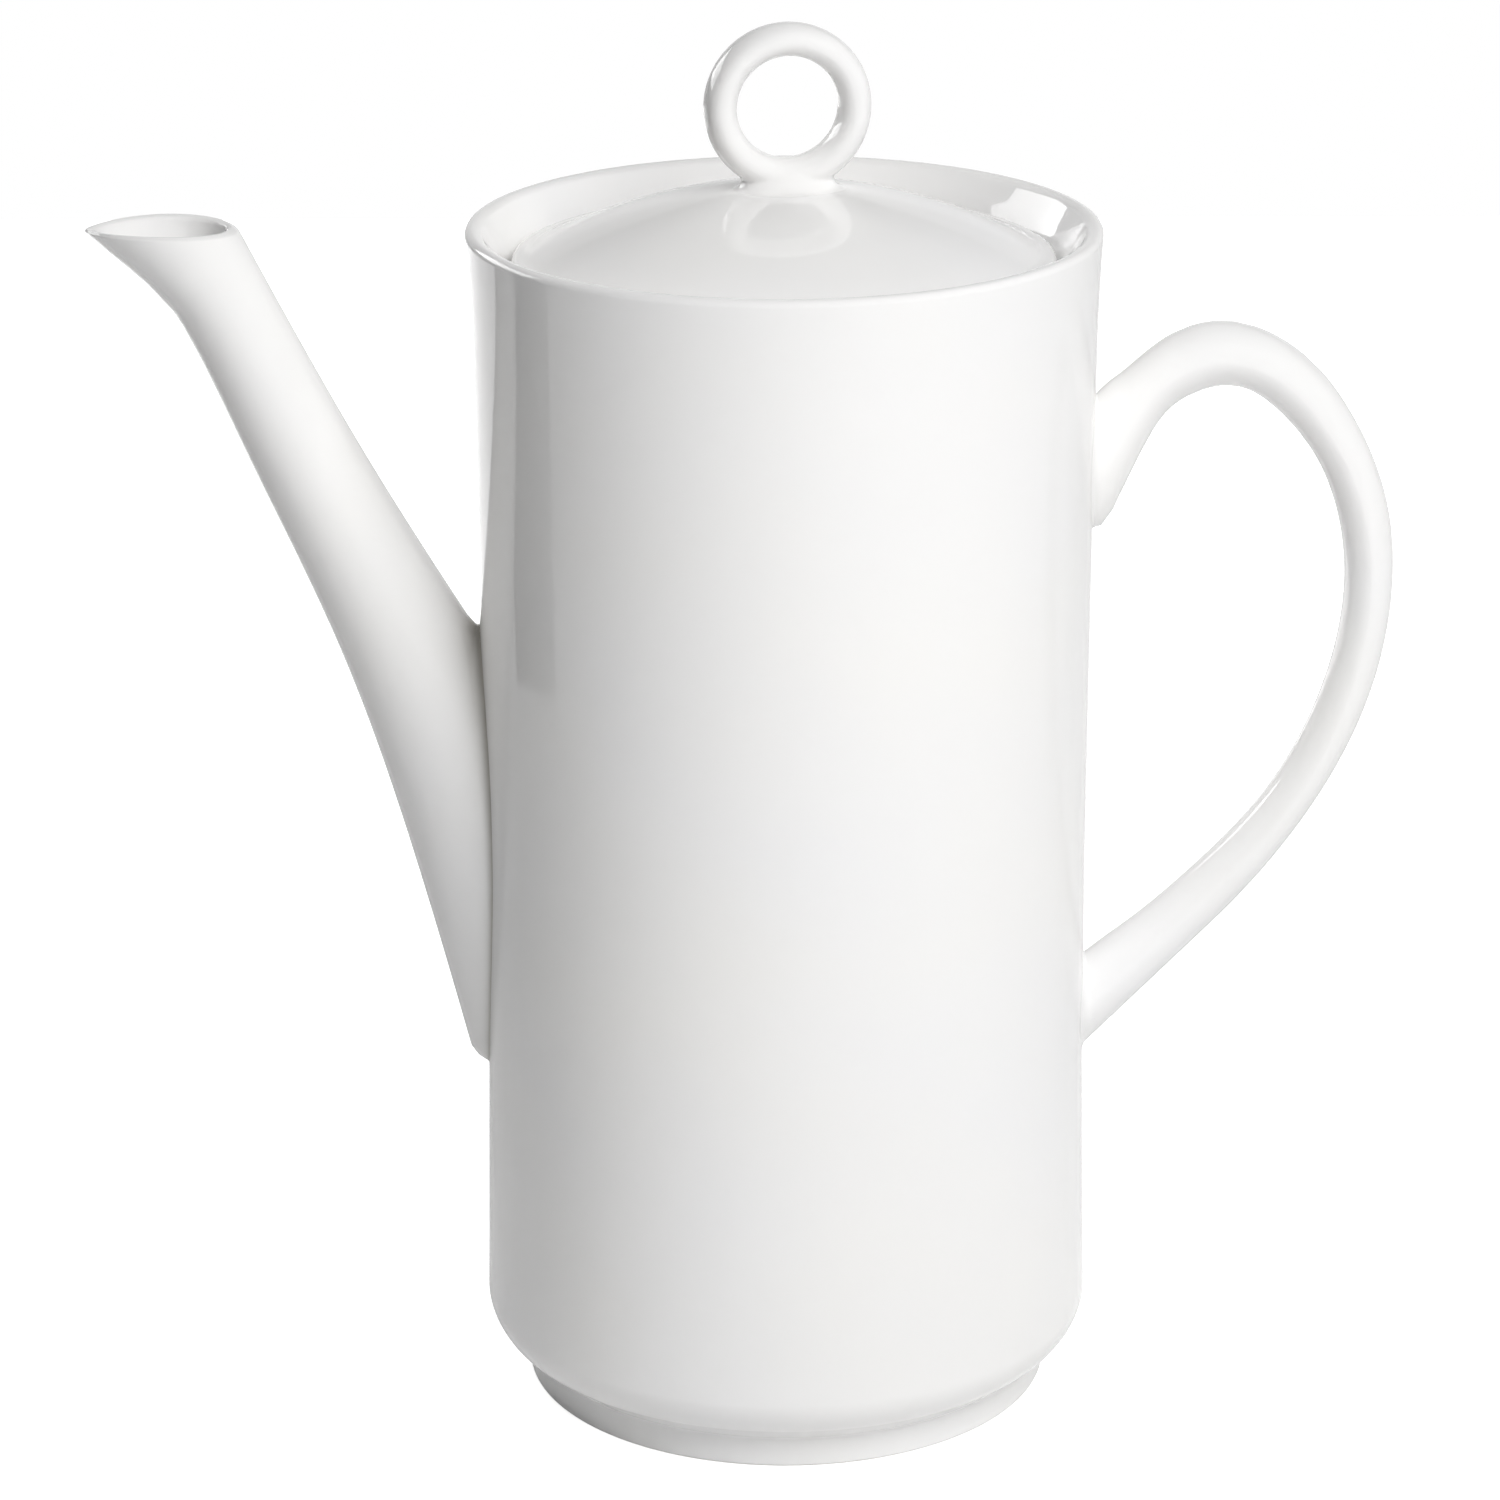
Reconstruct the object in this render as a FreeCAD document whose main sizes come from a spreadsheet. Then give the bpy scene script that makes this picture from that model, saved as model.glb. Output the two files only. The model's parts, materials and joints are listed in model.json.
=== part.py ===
"""Porcelain coffee pot: round body with a luted spout and ear handle, and a loose lid with a ring knob.

Millimetres. +Z is up, the origin is on the body's axis in the plane that the foot stands on,
the handle points to +X and the spout to -X.
"""
import FreeCAD, Part
import math
import os

import Sketcher

Vector = FreeCAD.Vector

# Driving sizes: name, millimetres (or degrees), what it is
SIZES = [
    ("rim_radius", 54.0, "outside of the lip"),
    ("rim_height", 209.8, "top of the lip above the table"),
    ("lip_width", 3.6, "thickness of the lip"),
    ("lip_round", 1.6, "round of the lip's two edges"),
    ("flare_height", 25.0, "stretch below the lip over which the wall opens out"),
    ("neck_draw_in", 0.9, "how much narrower the wall is below the flare"),
    ("waist_height", 85.0, "narrowest part of the body"),
    ("waist_draw_in", 1.4, "how much narrower the waist is than the lip"),
    ("base_draw_in", 0.2, "how much narrower the base is than the lip"),
    ("corner_height", 11.2, "height of the body's lower corner"),
    ("corner_round", 3.0, "round of the lower corner"),
    ("foot_inset", 7.4, "how far the foot ring stands inside the base"),
    ("foot_height", 5.4, "outside height of the foot ring"),
    ("foot_width", 4.6, "width of the foot ring's standing face"),
    ("foot_hollow", 4.4, "depth of the hollow inside the foot ring"),
    ("wall", 4.0, "thickness of the body's wall"),
    ("floor_thickness", 5.6, "thickness of the body's floor"),
    ("floor_round", 9.0, "inside round between wall and floor"),
    ("recess_depth", 9.2, "lip down to the ledge that carries the lid"),
    ("recess_slope", 3.5, "width of the hollowed slope between lip and lid"),
    ("recess_round", 14.0, "radius of that slope's hollow"),
    ("recess_wall", 2.4, "upright edge round the ledge"),
    ("ledge_width", 4.8, "width of the ledge"),
    ("ledge_thickness", 4.5, "height of the collar under the ledge"),
    ("collar_taper", 9.0, "height over which the collar runs out into the wall"),
    ("lid_gap", 1.2, "gap round the lid's edge"),
    ("skirt_gap", 0.8, "gap round the lid's skirt"),
    ("lid_rest_gap", 0.2, "glaze gap between lid and ledge"),
    ("lid_edge", 3.4, "thickness of the lid's edge"),
    ("lid_edge_round", 2.0, "round of the lid's upper edge"),
    ("dome_height", 11.8, "rise of the lid from its edge to the knob's seat"),
    ("dome_radius", 240.0, "radius of the lid's gently domed slope"),
    ("lid_thickness", 4.0, "thickness of the dome"),
    ("skirt_depth", 11.0, "reach of the skirt below the ledge"),
    ("skirt_thickness", 3.4, "thickness of the skirt"),
    ("knob_seat_radius", 9.6, "flat on the lid that the knob is luted to"),
    ("knob_foot_length", 18.0, "foot of the knob along the ring"),
    ("knob_foot_width", 9.2, "foot of the knob across the ring"),
    ("knob_foot_height", 2.0, "height of the foot"),
    ("knob_foot_taper", 28.0, "degrees that the foot's sides lean in"),
    ("ring_radius", 11.6, "middle of the ring's bar"),
    ("ring_thickness", 5.2, "ring's bar, measured outwards"),
    ("ring_depth", 8.0, "ring's bar, measured along its hole"),
    ("ring_sink", 0.4, "how deep the ring is pressed onto its seat"),
    ("knob_turn", 10.0, "degrees that the ring is turned about the pot's axis"),
    ("spout_end_height", 59.2, "lower end of the spout above the table"),
    ("spout_end_out", 2.9, "how far that end stands off the wall"),
    ("spout_end_width", 15.0, "spout's width at its lower end"),
    ("spout_end_solid", 9.0, "solid end of the spout below its bore"),
    ("spout_belly_rise", 34.0, "widest part of the spout's root above its lower end"),
    ("spout_belly_out", 11.7, "how far the belly stands off the wall"),
    ("spout_bury", 22.0, "how far the spout's root is drawn past the wall before it is trimmed to it"),
    ("spout_belly_width", 26.0, "spout's width at the belly"),
    ("spout_fork_rise", 79.4, "where the spout's upper side leaves the wall, above its lower end"),
    ("spout_fork_out", 26.0, "underside of the spout at the fork, off the wall"),
    ("spout_fork_back", 0.6, "upper side of the spout at the fork, off the wall"),
    ("spout_fork_width", 22.0, "spout's width at the fork"),
    ("spout_shaft_drop", 39.0, "middle of the spout's shaft below the mouth"),
    ("spout_shaft_out", 39.6, "underside of the shaft off the wall"),
    ("spout_shaft_bar", 20.2, "level thickness of the shaft"),
    ("spout_shaft_width", 19.0, "spout's width at the shaft"),
    ("spout_throat_drop", 19.0, "throat below the mouth"),
    ("spout_throat_out", 49.0, "underside of the throat off the wall"),
    ("spout_throat_bar", 19.2, "level thickness of the throat"),
    ("spout_throat_width", 17.6, "spout's width at the throat"),
    ("spout_lip_drop", 7.0, "start of the pouring lip below the mouth"),
    ("spout_lip_run", 9.4, "underside of the pouring lip beyond the throat's"),
    ("spout_mouth_drop", 0.6, "mouth below the pot's lip"),
    ("spout_tip_run", 7.0, "tip of the pouring lip beyond its start"),
    ("spout_tip_sharpness", 0.5, "how pointed the mouth is, 0 for an oval"),
    ("spout_mouth_length", 25.8, "mouth from tip to back"),
    ("spout_mouth_width", 19.2, "mouth from side to side"),
    ("spout_wall", 2.2, "level thickness of the spout's wall"),
    ("spout_hole_width", 15.0, "hole in the body's wall behind the spout"),
    ("spout_hole_rise", 18.0, "lower end of that hole above the spout's lower end"),
    ("spout_hole_drop", 14.0, "upper end of that hole below the fork"),
    ("handle_bury", 3.0, "how far the handle is drawn past the wall before it is trimmed to it"),
    ("handle_width", 12.4, "width of the handle's bar"),
    ("handle_root_height", 166.0, "middle of the handle's upper root above the table"),
    ("handle_root_tall", 20.0, "height of the upper root"),
    ("handle_root_width", 15.0, "width of both roots"),
    ("handle_heel_out", 0.6, "heel, the end of the flare at the upper root, off the wall"),
    ("handle_heel_rise", 2.2, "middle of the heel above the root"),
    ("handle_heel_tall", 22.8, "height of the heel"),
    ("handle_neck_out", 11.2, "neck off the wall"),
    ("handle_neck_rise", 16.4, "middle of the neck above the root"),
    ("handle_neck_bar", 10.9, "thickness of the bar at the neck"),
    ("handle_arch_out", 22.0, "top of the arch off the wall"),
    ("handle_arch_rise", 21.1, "middle of the arch above the root"),
    ("handle_arch_bar", 11.0, "thickness of the bar at the arch"),
    ("handle_shoulder_out", 41.2, "shoulder off the wall"),
    ("handle_shoulder_rise", 7.0, "middle of the shoulder above the root"),
    ("handle_shoulder_bar", 9.0, "thickness of the bar at the shoulder"),
    ("handle_grip_out", 48.3, "grip off the wall"),
    ("handle_grip_drop", 19.0, "middle of the grip below the root"),
    ("handle_grip_bar", 8.3, "thickness of the bar at the grip"),
    ("handle_arm_out", 35.0, "lower arm off the wall"),
    ("handle_arm_drop", 60.3, "middle of the lower arm below the root"),
    ("handle_arm_bar", 8.0, "thickness of the bar at the lower arm"),
    ("handle_tail_out", 13.8, "tail of the arm off the wall"),
    ("handle_tail_drop", 84.2, "middle of the tail below the root"),
    ("handle_tail_bar", 10.0, "thickness of the bar at the tail"),
    ("handle_foot_drop", 100.1, "middle of the handle's lower root below the upper one"),
    ("handle_foot_tall", 17.0, "height of the lower root"),
]

doc = FreeCAD.newDocument("coffee_pot")
sheet = doc.addObject("Spreadsheet::Sheet", "sizes")
for row, (alias, value, meaning) in enumerate(SIZES, 1):
    sheet.set("A%d" % row, alias)
    sheet.set("B%d" % row, str(value))
    sheet.set("C%d" % row, meaning)
    sheet.setAlias("B%d" % row, alias)
doc.recompute()


class Size:
    """A length together with the spreadsheet formula that gives it."""

    def __init__(self, value, formula):
        self.value = value
        self.formula = formula

    def __add__(self, other):
        return Size(self.value + other.value, "(%s + %s)" % (self.formula, other.formula))

    def __sub__(self, other):
        return Size(self.value - other.value, "(%s - %s)" % (self.formula, other.formula))

    def __truediv__(self, number):
        return Size(self.value / number, "(%s / %s)" % (self.formula, number))

    def __neg__(self):
        return Size(-self.value, "(-%s)" % self.formula)


def size(alias):
    """The spreadsheet's cell with this alias."""
    return Size(float(sheet.get(alias)), "sizes.%s" % alias)


# Radii and heights that several pieces share
rim_radius = size("rim_radius")
rim_height = size("rim_height")
neck_radius = rim_radius - size("neck_draw_in")
neck_height = rim_height - size("flare_height")
waist_radius = rim_radius - size("waist_draw_in")
waist_height = size("waist_height")
base_radius = rim_radius - size("base_draw_in")
corner_height = size("corner_height")
foot_radius = base_radius - size("foot_inset")
foot_height = size("foot_height")
lip_inside = rim_radius - size("lip_width")
recess_radius = lip_inside - size("recess_slope")
throat_radius = recess_radius - size("ledge_width")
ledge_height = rim_height - size("recess_depth")
lid_base = ledge_height + size("lid_rest_gap")
lid_edge_top = lid_base + size("lid_edge")
knob_seat = lid_edge_top + size("dome_height")
spout_end = size("spout_end_height")
spout_belly = spout_end + size("spout_belly_rise")
spout_fork = spout_end + size("spout_fork_rise")

# A corner's coordinate that lies on a sketch axis
ON_AXIS = None
# The stretch from a corner to the next: straight, or an arc that runs on smoothly from the stretch
# before it or into the one after it, or an arc of a given radius
STRAIGHT = "straight"
FROM_BEFORE = "from before"
INTO_AFTER = "into after"
# Two edges are the same ring when they agree this closely
CLOSE = 0.01
# Points that each section of the spout and the handle is drawn through
SECTION_POINTS = 24


def new_sketch(body, name, role):
    """A sketch on one of the body's own origin planes."""
    plane = [feature for feature in body.Origin.OriginFeatures if feature.Role == role][0]
    sketch = body.newObject("Sketcher::SketchObject", name)
    sketch.AttachmentSupport = [(plane, "")]
    sketch.MapMode = "FlatFace"
    return sketch


def bind(sketch, constraint, length):
    """Adds a constraint that reads its value from the spreadsheet."""
    index = sketch.addConstraint(constraint)
    sketch.setExpression("Constraints[%d]" % index, length.formula)


def hold_point(sketch, place, corner):
    """Holds a point of the sketch at the corner's two coordinates."""
    for length, kind, axis in zip(corner, ("DistanceX", "DistanceY"), (-2, -1)):
        if length is ON_AXIS:
            sketch.addConstraint(Sketcher.Constraint("PointOnObject", *place, axis))
        else:
            bind(sketch, Sketcher.Constraint(kind, -1, 1, *place, length.value), length)


def corner_point(corner):
    """The corner as a point in the sketch."""
    return Vector(*[0.0 if length is ON_AXIS else length.value for length in corner[:2]], 0.0)


def short_arc(centre, start, end):
    """The shorter arc about the centre between the two points, drawn counterclockwise."""
    if (start - centre).cross(end - centre).z < 0:
        start, end = end, start
    first, last = [math.atan2(point.y - centre.y, point.x - centre.x) for point in (start, end)]
    if last < first:
        last += 2 * math.pi
    circle = Part.Circle(centre, Vector(0, 0, 1), (start - centre).Length)
    return Part.ArcOfCircle(circle, first, last)


def tangent_arc(start, direction, end):
    """The arc that leaves start in this direction and arrives at end."""
    chord = end - start
    left = Vector(-direction.y, direction.x, 0).normalize()
    centre = start + left * (chord.Length**2 / (2 * chord.dot(left)))
    return short_arc(centre, start, end)


def bulged_arc(start, end, radius, side):
    """The short arc of this radius that bulges to the left (1) or right (-1) of the way to end."""
    chord = end - start
    left = Vector(-chord.y, chord.x, 0).normalize()
    centre = (start + end) / 2 - left * side * math.sqrt(radius**2 - chord.Length**2 / 4)
    return short_arc(centre, start, end)


def stretch(points, i, arc):
    """The line or arc from the outline's point i to the next."""
    before, start, end, after = [points[(i + k) % len(points)] for k in (-1, 0, 1, 2)]
    if arc == STRAIGHT:
        return Part.LineSegment(start, end)
    if arc == FROM_BEFORE:
        return tangent_arc(start, start - before, end)
    if arc == INTO_AFTER:
        return tangent_arc(end, end - after, start)
    radius, side = arc
    return bulged_arc(start, end, radius.value, side)


def draw_outline(sketch, corners):
    """Closed outline through the corners, each held in place by the spreadsheet.

    A corner has two coordinates and, where the way to the next corner isn't straight, its arc.
    """
    points = [corner_point(corner) for corner in corners]
    arcs = [corner[2] if len(corner) > 2 else STRAIGHT for corner in corners]
    starts, ends = [], []
    for i, start in enumerate(points):
        index = sketch.addGeometry(stretch(points, i, arcs[i]))
        same_way = (sketch.Geometry[index].StartPoint - start).Length < CLOSE
        starts.append((index, 1 if same_way else 2))
        ends.append((index, 2 if same_way else 1))
    for i, corner in enumerate(corners):
        smooth = arcs[i] == FROM_BEFORE or arcs[i - 1] == INTO_AFTER
        joint = "Tangent" if smooth else "Coincident"
        sketch.addConstraint(Sketcher.Constraint(joint, *ends[i - 1], *starts[i]))
        hold_point(sketch, starts[i], corner[:2])
        if isinstance(arcs[i], tuple):
            bind(sketch, Sketcher.Constraint("Radius", starts[i][0], arcs[i][0].value), arcs[i][0])


def draw_stadium(sketch, centres, radius):
    """Two half circles of this radius about the centres, joined by straight sides."""
    first, second = [corner_point(centre) for centre in centres]
    way = (second - first).normalize()
    left = Vector(-way.y, way.x, 0) * radius.value
    loop = []
    for here, there, turned in ((first, second, math.pi), (second, first, 0.0)):
        middle = math.atan2(way.y, way.x) + turned
        circle = Part.Circle(here, Vector(0, 0, 1), radius.value)
        half_circle = Part.ArcOfCircle(circle, middle - math.pi / 2, middle + math.pi / 2)
        loop.append(sketch.addGeometry(half_circle))
        side = left if here is second else -left
        loop.append(sketch.addGeometry(Part.LineSegment(here + side, there + side)))
    for here, after in zip(loop, loop[1:] + loop[:1]):
        sketch.addConstraint(Sketcher.Constraint("Tangent", here, 2, after, 1))
    sketch.addConstraint(Sketcher.Constraint("Equal", loop[0], loop[2]))
    bind(sketch, Sketcher.Constraint("Radius", loop[0], radius.value), radius)
    for arc, centre in zip((loop[0], loop[2]), centres):
        hold_point(sketch, (arc, 3), centre)


def turn(body, sketch, axis):
    """Turns the sketch once round one of its axes."""
    turned = body.newObject("PartDesign::Revolution", sketch.Name + "_turned")
    turned.Profile = sketch
    turned.ReferenceAxis = (sketch, [axis])
    turned.Angle = 360.0
    doc.recompute()


def round_rings(body, name, places, radius):
    """Rounds the ring edges at these (radius, height) places of the body."""
    tip = body.Tip
    names = []
    for number, edge in enumerate(tip.Shape.Edges, 1):
        if not isinstance(edge.Curve, Part.Circle):
            continue
        ring = (edge.Curve.Radius, edge.Curve.Center.z)
        for place in places:
            if all(abs(measured - length.value) < CLOSE for measured, length in zip(ring, place)):
                names.append("Edge%d" % number)
    fillet = body.newObject("PartDesign::Fillet", name)
    fillet.Base = (tip, names)
    fillet.setExpression("Radius", radius.formula)
    doc.recompute()


def cut_through(body, name, sketch):
    """Cuts the sketch right through on its own side, and makes sure that it took something away."""
    before = body.Tip.Shape.Volume
    pocket = body.newObject("PartDesign::Pocket", name)
    pocket.Profile = sketch
    pocket.Type = "ThroughAll"
    doc.recompute()
    if not body.Shape.Volume < before:
        raise ValueError("%s cuts nothing" % name)


def outside_wall():
    """The pot's outside from the foot's top edge to the lip, as corners of an outline."""
    return [
        (foot_radius, foot_height),
        (base_radius, corner_height, INTO_AFTER),
        (waist_radius, waist_height),
        (neck_radius, neck_height, FROM_BEFORE),
    ]


def make_pot_outline():
    """The pot's outside as a full solid, which trims the roots of spout and handle."""
    body = doc.addObject("PartDesign::Body", "pot_outline")
    sketch = new_sketch(body, "pot_outline_section", "XZ_Plane")
    corners = outside_wall()
    corners += [(rim_radius, rim_height), (ON_AXIS, rim_height), (ON_AXIS, foot_height)]
    draw_outline(sketch, corners)
    turn(body, sketch, "V_Axis")
    return body


def make_pot_body():
    """The hollow body with foot ring, lip, recess and ledge, and the hole behind the spout."""
    body = doc.addObject("PartDesign::Body", "pot_body")
    wall = size("wall")
    foot_inside = foot_radius - size("foot_width")
    floor_under = size("foot_hollow")
    floor_top = floor_under + size("floor_thickness")
    collar_low = ledge_height - size("ledge_thickness")
    inside_base = base_radius - wall
    floor_round = size("floor_round")
    section = new_sketch(body, "pot_section", "XZ_Plane")
    corners = outside_wall()
    corners += [
        (rim_radius, rim_height),
        (lip_inside, rim_height, (size("recess_round"), 1)),
        (recess_radius, ledge_height + size("recess_wall")),
        (recess_radius, ledge_height),
        (throat_radius, ledge_height),
        (throat_radius, collar_low),
        (neck_radius - wall, collar_low - size("collar_taper")),
        (waist_radius - wall, waist_height),
        (inside_base, floor_top + floor_round, (floor_round, 1)),
        (inside_base - floor_round, floor_top),
        (ON_AXIS, floor_top),
        (ON_AXIS, floor_under),
        (foot_inside, floor_under),
        (foot_inside, ON_AXIS),
        (foot_radius, ON_AXIS),
    ]
    draw_outline(section, corners)
    turn(body, section, "V_Axis")
    round_rings(body, "pot_lip", [(rim_radius, rim_height), (lip_inside, rim_height)], size("lip_round"))
    round_rings(body, "pot_corner", [(base_radius, corner_height)], size("corner_round"))

    hole = new_sketch(body, "spout_hole_section", "YZ_Plane")
    half = size("spout_hole_width") / 2
    low = spout_end + size("spout_hole_rise") + half
    high = spout_fork - size("spout_hole_drop") - half
    draw_stadium(hole, [(ON_AXIS, low), (ON_AXIS, high)], half)
    cut_through(body, "spout_hole", hole)
    return body


def make_lid():
    """The domed lid, hollow underneath, with its edge and its skirt."""
    body = doc.addObject("PartDesign::Body", "lid")
    lid_radius = recess_radius - size("lid_gap")
    skirt_radius = throat_radius - size("skirt_gap")
    skirt_inside = skirt_radius - size("skirt_thickness")
    skirt_low = lid_base - size("skirt_depth")
    seat_radius = size("knob_seat_radius")
    dome_under = knob_seat - size("lid_thickness")
    section = new_sketch(body, "lid_section", "XZ_Plane")
    corners = [
        (ON_AXIS, knob_seat),
        (ON_AXIS, dome_under),
        (seat_radius, dome_under, (size("dome_radius"), 1)),
        (skirt_inside, lid_base),
        (skirt_inside, skirt_low),
        (skirt_radius, skirt_low),
        (skirt_radius, lid_base),
        (lid_radius, lid_base),
        (lid_radius, lid_edge_top, (size("dome_radius"), -1)),
        (seat_radius, knob_seat),
    ]
    draw_outline(section, corners)
    turn(body, section, "V_Axis")
    round_rings(body, "lid_rim", [(lid_radius, lid_edge_top)], size("lid_edge_round"))
    return body


def make_lid_knob():
    """The ring knob on its low foot, trimmed flat where it is luted to the lid."""
    body = doc.addObject("PartDesign::Body", "lid_knob")
    half_bar = size("ring_thickness") / 2
    ring_radius = size("ring_radius")
    ring_height = knob_seat - size("ring_sink") + half_bar + ring_radius
    side = size("ring_depth") / 2 - half_bar
    ring = new_sketch(body, "ring_section", "YZ_Plane")
    ring.setExpression("AttachmentOffset.Base.y", ring_height.formula)
    draw_stadium(ring, [(-side, ring_radius), (side, ring_radius)], half_bar)
    turn(body, ring, "H_Axis")

    foot = new_sketch(body, "knob_foot_outline", "XY_Plane")
    foot.setExpression("AttachmentOffset.Base.z", knob_seat.formula)
    half_width = size("knob_foot_width") / 2
    end = size("knob_foot_length") / 2 - half_width
    draw_stadium(foot, [(-end, ON_AXIS), (end, ON_AXIS)], half_width)
    pad = body.newObject("PartDesign::Pad", "knob_foot")
    pad.Profile = foot
    pad.setExpression("Length", size("knob_foot_height").formula)
    pad.setExpression("TaperAngle", "-" + size("knob_foot_taper").formula)
    doc.recompute()

    flat = new_sketch(body, "knob_flat_outline", "XY_Plane")
    flat.setExpression("AttachmentOffset.Base.z", knob_seat.formula)
    disc = flat.addGeometry(Part.Circle(Vector(), Vector(0, 0, 1), ring_radius.value))
    hold_point(flat, (disc, 3), (ON_AXIS, ON_AXIS))
    bind(flat, Sketcher.Constraint("Radius", disc, ring_radius.value), ring_radius)
    cut_through(body, "knob_flat", flat)
    body.setExpression("Placement.Rotation.Angle", size("knob_turn").formula)
    return body


def ring_wire(points):
    """A smooth closed wire through the points."""
    curve = Part.BSplineCurve()
    curve.interpolate(Points=points, PeriodicFlag=True)
    return Part.Wire([curve.toShape()])


def smooth(places, values):
    """A smooth function that takes these values at these places."""
    curve = Part.BSplineCurve()
    points = [Vector(value, 0, place) for place, value in zip(places, values)]
    curve.interpolate(Points=points, Parameters=places)
    return lambda place: curve.value(place).x


def steady(places, values):
    """A function that changes evenly from each place's value to the next."""

    def value_at(place):
        for i in range(len(places) - 1):
            if place <= places[i + 1]:
                share = (place - places[i]) / (places[i + 1] - places[i])
                return values[i] + (values[i + 1] - values[i]) * share
        return values[-1]

    return value_at


def with_middles(places):
    """The places with the middle of each neighbouring pair put between them."""
    middles = [(here + after) / 2 for here, after in zip(places, places[1:])]
    return sorted(places + middles)


def loft(name, wires):
    """A solid drawn smoothly through the wires, each kept as a section of its own."""
    sections = []
    for number, wire in enumerate(wires, 1):
        section = doc.addObject("Part::Feature", "%s_section_%d" % (name, number))
        section.Shape = wire
        sections.append(section)
    solid = doc.addObject("Part::Loft", name)
    solid.Sections = sections
    solid.Solid = True
    doc.recompute()
    return solid


def cut(name, base, tool):
    """What is left of base outside tool."""
    left = doc.addObject("Part::Cut", name)
    left.Base = base
    left.Tool = tool
    left.Refine = False
    doc.recompute()
    return left


def make_spout(pot_outline):
    """The hollow spout, drawn through level sections and trimmed to the pot's outside."""
    mouth = rim_height - size("spout_mouth_drop")
    throat = mouth - size("spout_throat_drop")
    lip = mouth - size("spout_lip_drop")
    shaft = mouth - size("spout_shaft_drop")
    shaft_out = size("spout_shaft_out")
    throat_out = size("spout_throat_out")
    lip_out = throat_out + size("spout_lip_run")
    tip_out = lip_out + size("spout_tip_run")
    buried = -size("spout_bury")
    # Level, underside and upper side off the wall, width
    stations = [
        (spout_end, size("spout_end_out"), buried, size("spout_end_width")),
        (spout_belly, size("spout_belly_out"), buried, size("spout_belly_width")),
        (spout_fork, size("spout_fork_out"), size("spout_fork_back"), size("spout_fork_width")),
        (shaft, shaft_out, shaft_out - size("spout_shaft_bar"), size("spout_shaft_width")),
        (throat, throat_out, throat_out - size("spout_throat_bar"), size("spout_throat_width")),
        (mouth, tip_out, tip_out - size("spout_mouth_length"), size("spout_mouth_width")),
    ]
    levels, fronts, backs, widths = [[length.value for length in row] for row in zip(*stations)]
    back = smooth(levels, backs)
    width = smooth(levels, widths)
    levels.insert(-1, lip.value)
    fronts.insert(-1, lip_out.value)
    front = smooth(levels, fronts)
    sharpness = size("spout_tip_sharpness").value
    thickness = size("spout_wall").value

    def section(height, inset=0.0, lift=0.0):
        """Level section, an oval that draws out to a drop towards the mouth."""
        near = front(height) - inset
        far = back(height) + inset
        half_width = width(height) / 2 - inset
        drop = sharpness * max(0.0, (height - throat.value) / (mouth.value - throat.value)) ** 2
        widest = math.acos(-drop / (2 + drop))
        peak = math.sin(widest) * math.sin(widest / 2) ** drop
        points = []
        for k in range(SECTION_POINTS):
            angle = 2 * math.pi * k / SECTION_POINTS
            out = near + (far - near) * (1 - math.cos(angle)) / 2
            side = half_width * math.sin(angle) * abs(math.sin(angle / 2)) ** drop / peak
            points.append(Vector(-waist_radius.value - out, side, height + lift))
        return ring_wire(points)

    levels = with_middles(levels)
    outside = loft("spout_outside", [section(level) for level in levels])
    bore_low = levels[0] + size("spout_end_solid").value
    bore = [section(level, thickness) for level in [bore_low] + levels if level >= bore_low]
    bore.append(section(mouth.value, thickness, thickness))
    trimmed = cut("spout_trimmed", outside, pot_outline)
    return cut("spout", trimmed, loft("spout_bore", bore))


def make_handle(pot_outline):
    """The ear handle, drawn through ovals across its line and trimmed to the pot's outside."""
    root = size("handle_root_height")
    buried = -size("handle_bury")
    bar_width = size("handle_width")
    root_width = size("handle_root_width")
    # Distance off the wall, height, thickness, width
    stations = [
        (buried, root, size("handle_root_tall"), root_width),
        (size("handle_heel_out"), root + size("handle_heel_rise"), size("handle_heel_tall"), root_width),
        (size("handle_neck_out"), root + size("handle_neck_rise"), size("handle_neck_bar"), bar_width),
        (size("handle_arch_out"), root + size("handle_arch_rise"), size("handle_arch_bar"), bar_width),
        (
            size("handle_shoulder_out"),
            root + size("handle_shoulder_rise"),
            size("handle_shoulder_bar"),
            bar_width,
        ),
        (size("handle_grip_out"), root - size("handle_grip_drop"), size("handle_grip_bar"), bar_width),
        (size("handle_arm_out"), root - size("handle_arm_drop"), size("handle_arm_bar"), bar_width),
        (size("handle_tail_out"), root - size("handle_tail_drop"), size("handle_tail_bar"), bar_width),
        (buried, root - size("handle_foot_drop"), size("handle_foot_tall"), root_width),
    ]
    arch, tail = 3, 7
    points = [Vector((waist_radius + out).value, 0, height.value) for out, height, tall, wide in stations]
    places = [0.0]
    for here, after in zip(points, points[1:]):
        places.append(places[-1] + (after - here).Length)
    line = Part.BSplineCurve()
    line.interpolate(Points=points, Parameters=places)
    bar = steady(places, [tall.value for out, height, tall, wide in stations])
    width = steady(places, [wide.value for out, height, tall, wide in stations])
    wires = []
    for place in with_middles(places):
        way = line.tangent(place)[0]
        # The sections turn from upright at the wall to square across the bar
        to_wall = min(place / places[arch], (places[-1] - place) / (places[-1] - places[tail]), 1.0)
        across = Vector(-way.z, 0, way.x)
        upright = Vector(0, 0, math.copysign(1, across.z))
        across = (upright + (across - upright) * to_wall**2).normalize() * bar(place) / 2
        sideways = Vector(0, width(place) / 2, 0)
        ring = []
        for k in range(SECTION_POINTS):
            angle = 2 * math.pi * k / SECTION_POINTS
            ring.append(line.value(place) + across * math.cos(angle) + sideways * math.sin(angle))
        wires.append(ring_wire(ring))
    return cut("handle", loft("handle_bar", wires), pot_outline)


outside = make_pot_outline()
pieces = [make_pot_body(), make_spout(outside), make_handle(outside), make_lid(), make_lid_knob()]
doc.recompute()

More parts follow.
